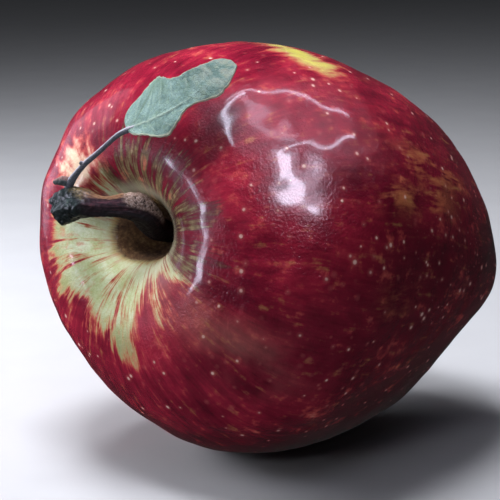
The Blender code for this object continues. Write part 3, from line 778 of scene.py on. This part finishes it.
def bark_finish():
    """Dark mauve bark with paler wrinkles at the bend; its golden top is a painted highlight and its
    near-black underside painted shade.
    """
    f = Finish("apple_bark")
    place, share = f.note("place", "Vector"), f.note("share")
    fibre = f.noise(f.scaled(f.note("wind", "Vector"), (3.0, 3.0, 0.8)), 1.0, 5.0, 0.65)
    spot = f.noise(place, 1.3, 5.0, 0.65)
    fleck = f.noise(place, 3.2, 4.0, 0.7)
    colour = f.ramp(f.total((0.65, fibre), (0.35, spot)), [
        (0.34, (0.003, 0.001, 0.002)), (0.50, (0.018, 0.006, 0.010)),
        (0.70, (0.085, 0.028, 0.036))])
    upward = f.total((1.0, f.note("upward")), (0.8, f.math("SUBTRACT", fibre, 0.5)))
    # Painted highlight: golden on the top of the stem, where it faces up
    top = f.smooth(upward, 0.72, 1.06)
    colour = f.mix(f.times(top, 0.80), colour, (0.24, 0.125, 0.065))
    # Painted shade: near black on the underside
    colour = f.mix(f.times(f.smooth(upward, 0.05, -0.5), 0.85), colour, (0.006, 0.005, 0.006))

    ridge = f.smooth(f.note("crinkle"), 0.08, 0.55)
    skin = f.mix(ridge, (0.010, 0.006, 0.005), (0.24, 0.165, 0.135))
    skin = f.mix(f.times(f.smooth(fleck, 0.48, 0.62), f.times(ridge, 0.8)), skin, (0.58, 0.47, 0.44))
    colour = f.mix(f.times(f.smooth(f.note("bend"), 0.15, 0.8), 0.85), colour, skin)

    knob = f.smooth(f.total((1.0, share), (0.10, f.math("SUBTRACT", spot, 0.5))), 0.76, 0.84)
    moss = f.ramp(f.total((0.6, spot), (0.4, fleck)), [
        (0.36, (0.001, 0.002, 0.002)), (0.52, (0.006, 0.012, 0.012)),
        (0.62, (0.028, 0.044, 0.044)), (0.70, (0.20, 0.22, 0.10))])
    golden = f.mix(f.smooth(fleck, 0.42, 0.62), (0.028, 0.022, 0.010), (0.17, 0.12, 0.045))
    moss = f.mix(f.smooth(f.total((1.0, upward), (-6.0, f.math("SUBTRACT", share, 0.84))), 0.55, 0.95),
                 moss, golden)
    colour = f.mix(knob, colour, moss)
    rough = f.math("SUBTRACT", f.smooth(spot, 0.3, 0.7, 0.52, 0.80), f.times(knob, 0.32))
    height = f.total((1.0, fibre), (0.8, spot), (0.5, f.times(f.note("bend"), fleck)))
    f.set(Base_Color=colour, Roughness=rough, Normal=f.bump(height, 0.00022, 0.8),
          Coat_Weight=f.times(knob, 0.6), Coat_Roughness=0.33, Specular_IOR_Level=0.12)
    return f.material


def leaf_finish():
    """Grey-green felt with a faint net of veins, and a slate-blue stalk."""
    f = Finish("apple_leaf_felt")
    place = f.note("place", "Vector")
    share, across, stalk = f.note("share"), f.note("across"), f.note("stalk")
    felt = f.noise(place, 4.5, 4.0, 0.7)
    cloud = f.noise(place, 0.55, 4.0)
    net = f.smooth(f.cells(place, 1.25, feature="DISTANCE_TO_EDGE"), 0.10, 0.0)
    colour = f.ramp(f.total((0.45, felt), (0.55, cloud)), [
        (0.32, (0.045, 0.085, 0.080)), (0.50, (0.100, 0.170, 0.160)), (0.68, (0.21, 0.31, 0.31))])
    moss = f.times(f.smooth(f.noise(place, 1.1, 5.0, 0.7), 0.46, 0.62), 0.55)
    colour = f.mix(moss, colour, (0.130, 0.200, 0.140))
    colour = f.mix(f.times(f.smooth(f.note("vein"), 0.25, 1.0), 0.40), colour, (0.30, 0.37, 0.31))
    colour = f.mix(f.times(net, 0.50), colour, (0.045, 0.085, 0.066))
    # Painted shadow: a dark line across the blade along a fold, as shade in a crease
    fold = f.math("ABSOLUTE", f.plus(f.total((1.0, share), (-0.28, across)), -0.10))
    inside = f.times(f.smooth(across, 0.05, 0.2), f.smooth(across, 0.9, 0.7))
    painted_crease_shadow = f.times(f.smooth(fold, 0.022, 0.004), inside)
    colour = f.mix(f.times(painted_crease_shadow, 0.7), colour, (0.050, 0.085, 0.065))
    patch = f.times(f.smooth(across, 0.45, 0.95), f.times(
        f.smooth(share, 0.22, 0.34), f.smooth(share, 0.58, 0.42)))
    colour = f.mix(f.times(patch, 0.6), colour, (0.07, 0.13, 0.09))
    tip = f.times(f.smooth(share, 0.62, 0.95), f.smooth(cloud, 0.35, 0.6))
    colour = f.mix(f.times(tip, 0.5), colour, (0.22, 0.21, 0.17))

    rim = f.math("MAXIMUM", f.smooth(across, -0.90, -0.98), f.times(f.smooth(across, 0.93, 1.0), 0.4))
    colour = f.mix(f.times(rim, 0.7), colour, (0.40, 0.40, 0.30))

    # Painted light and shade: the stalk is pale slate on its upward face and near black below
    slate = f.mix(f.smooth(across, 0.1, 0.8), (0.045, 0.052, 0.070), (0.26, 0.25, 0.30))
    slate = f.mix(f.times(f.smooth(felt, 0.48, 0.7), 0.4), slate, (0.30, 0.29, 0.31))
    # Painted shade: the stipule is near black on its lower face, reddish brown on top
    tooth = f.mix(f.smooth(across, 0.2, 0.8), (0.010, 0.018, 0.018), (0.105, 0.040, 0.028))
    slate = f.mix(f.times(share, 0.85), slate, tooth)
    colour = f.mix(stalk, colour, slate)
    height = f.total((1.0, felt), (0.7, f.noise(place, 1.6, 3.0)), (-0.5, net))
    f.set(Base_Color=colour, Roughness=f.smooth(felt, 0.3, 0.7, 0.72, 0.92),
          Normal=f.bump(height, 0.00018, 0.7), Sheen_Weight=0.08, Sheen_Roughness=0.5,
          Specular_IOR_Level=0.2)
    return f.material


def calyx_finish():
    """Dry brown tissue with a greyish felt, paler at the sepals' tips and dark at the stamens."""
    f = Finish("apple_dried_calyx")
    place = f.note("place", "Vector")
    felt = f.noise(place, 3.5, 5.0, 0.7)
    spot = f.noise(place, 0.9, 4.0)
    colour = f.ramp(f.total((0.6, felt), (0.4, spot)), [
        (0.34, (0.050, 0.028, 0.014)), (0.50, (0.13, 0.085, 0.045)), (0.66, (0.30, 0.23, 0.15))])
    colour = f.mix(f.times(f.smooth(f.note("share"), 0.55, 1.0), 0.55), colour, (0.33, 0.25, 0.15))
    colour = f.mix(f.times(f.note("stamen"), 0.8), colour, (0.045, 0.028, 0.018))
    f.set(Base_Color=colour, Roughness=f.smooth(felt, 0.3, 0.7, 0.78, 0.95),
          Normal=f.bump(felt, 0.00018, 0.8), Sheen_Weight=0.3, Sheen_Roughness=0.5,
          Specular_IOR_Level=0.2)
    return f.material


# The part's pieces

def place_piece(name, mesh, finish, node):
    piece = add_object(name, mesh, finish)
    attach(piece, "root")
    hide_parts(node)
    return piece


place_piece("apple_fruit", make_fruit(), skin_finish(), "fruit")
place_piece("apple_stem", make_stem(), bark_finish(), "stem")
leaf_piece = place_piece("apple_leaf", make_leaf(), leaf_finish(), "leaf")
place_piece("apple_calyx", make_calyx(), calyx_finish(), "calyx")


# Floor, light and camera

def make_floor():
    mesh = bpy.data.meshes.new("floor")
    half, drop = 3.0, -0.0002
    mesh.from_pydata([(-half, -half, drop), (half, -half, drop), (half, half, drop),
                      (-half, half, drop)], [], [(0, 1, 2, 3)])
    f = Finish("floor_paper")
    spot = f.noise(f.node("ShaderNodeTexCoord", {}).outputs["Object"], 60.0, 3.0)
    f.set(Base_Color=f.mix(spot, (0.33, 0.34, 0.36), (0.36, 0.37, 0.39)), Roughness=0.9,
          Specular_IOR_Level=0.2)
    floor = add_object("floor", mesh, f.material)
    floor.visible_glossy = False


CAMERA_PLACE = Vector((-0.2084, -0.2244, 0.1069))
CAMERA_TARGET = Vector((-0.0072, 0.0014, 0.0373))


def camera_direction(right, up, back):
    """A direction given as seen by the camera: to the right, up and towards the camera."""
    forward = (CAMERA_TARGET - CAMERA_PLACE).normalized()
    side = forward.cross(Vector((0, 0, 1))).normalized()
    return (side * right + side.cross(forward) * up - forward * back).normalized()


def add_lamp(name, direction, distance, size, power, colour, along=(1.0, 0.0, 0.0)):
    """An area lamp that faces the fruit; its first size lies along a direction."""
    lamp = bpy.data.lights.new(name, "AREA")
    lamp.shape = "RECTANGLE"
    lamp.size, lamp.size_y = size
    lamp.energy = power
    lamp.color = colour
    obj = bpy.data.objects.new(name, lamp)
    bpy.context.scene.collection.objects.link(obj)
    back = camera_direction(*direction)
    side = camera_direction(*along)
    side = (side - back * side.dot(back)).normalized()
    turn = Matrix((side, back.cross(side), back)).transposed().to_4x4()
    obj.matrix_world = Matrix.Translation(CAMERA_TARGET + back * distance) @ turn
    return obj


def pass_leaf(lamp):
    """Lets a lamp's shine reach the skin close under the leaf."""
    passed = bpy.data.collections.new("leaf_passed")
    passed.objects.link(leaf_piece)
    lamp.light_linking.blocker_collection = passed
    passed.collection_objects[0].light_linking.link_state = "EXCLUDE"


# Name, direction, distance in metres, size and watts of the lamps that light the colours
SOFT_COLOUR = (0.98, 0.97, 1.0)
SOFT_LAMPS = (
    ("overhead", (-0.14, 0.94, 0.27), 0.38, (0.15, 0.12), 2.6),
    ("behind", (-0.30, 0.92, -0.26), 0.38, (0.09, 0.07), 0.9),
    ("hole", (-0.45, 0.12, 0.88), 0.30, (0.04, 0.04), 0.09),
    ("left", (-0.93, 0.28, -0.27), 0.30, (0.14, 0.14), 1.5),
    ("front", (-0.10, 0.60, 0.80), 0.34, (0.12, 0.12), 0.12))

# The same for the lamps that only shine, and the direction that the first size lies along
SHINE_COLOUR = (0.80, 0.80, 1.0)
SHINE_LAMPS = (
    ("arc_left", (-0.29, 0.86, 0.41), 0.28, (0.17, 0.011), 0.45, (0.516, 0.425, -0.30)),
    ("arc", (0.17, 0.975, 0.07), 0.28, (0.34, 0.009), 0.42, (0.92, -0.16, -0.49)),
    ("side_arc", (0.45, 0.81, 0.38), 0.28, (0.34, 0.011), 0.55, (0.68, -0.04, -0.73)),
    ("core", (0.14, 0.59, 0.79), 0.30, (0.09, 0.09), 1.5, (1.0, 0.0, 0.0)),
    ("core_halo", (0.15, 0.60, 0.79), 0.30, (0.15, 0.12), 0.6, (1.0, 0.0, 0.0)),
    ("veil", (0.08, 0.90, 0.42), 0.30, (0.13, 0.04), 0.20, (1.0, 0.0, 0.0)),
    ("rim", (-0.94, 0.03, 0.29), 0.32, (0.05, 0.08), 0.07, (1.0, 0.0, 0.0)),
    ("rim_upper", (-0.94, 0.08, 0.30), 0.32, (0.05, 0.03), 0.20, (1.0, 0.0, 0.0)),
    ("rim_lower", (-0.95, -0.04, 0.28), 0.32, (0.06, 0.02), 0.16, (1.0, 0.0, 0.0)),
    ("edge", (-0.80, 0.34, -0.50), 0.30, (0.14, 0.24), 0.22, (1.0, 0.0, 0.0)))


def light_scene():
    """Soft light from the upper left, and lamps that only shine on what is glossy."""
    for name, direction, distance, size, power in SOFT_LAMPS:
        lamp = add_lamp(name, direction, distance, size, power, SOFT_COLOUR)
        lamp.visible_glossy = False
    for name, direction, distance, size, power, along in SHINE_LAMPS:
        lamp = add_lamp(name, direction, distance, size, power, SHINE_COLOUR, along)
        lamp.visible_diffuse = False
        if name == "arc_left":
            pass_leaf(lamp)
    world = bpy.data.worlds.new("studio")
    world.use_nodes = True
    world.node_tree.nodes["Background"].inputs["Color"].default_value = (0.75, 0.77, 0.8, 1.0)
    world.node_tree.nodes["Background"].inputs["Strength"].default_value = 0.035
    bpy.context.scene.world = world
    bpy.context.scene.view_settings.view_transform = "Standard"


def add_camera():
    camera = bpy.data.cameras.new("camera")
    camera.lens = 123.3
    camera.sensor_width = 36.0
    camera.shift_x = 0.0142
    camera.shift_y = -0.0072
    camera.clip_start = 0.01
    obj = bpy.data.objects.new("camera", camera)
    bpy.context.scene.collection.objects.link(obj)
    obj.location = CAMERA_PLACE
    obj.rotation_euler = (CAMERA_TARGET - CAMERA_PLACE).to_track_quat("-Z", "Y").to_euler()
    bpy.context.scene.camera = obj


make_floor()
light_scene()
add_camera()
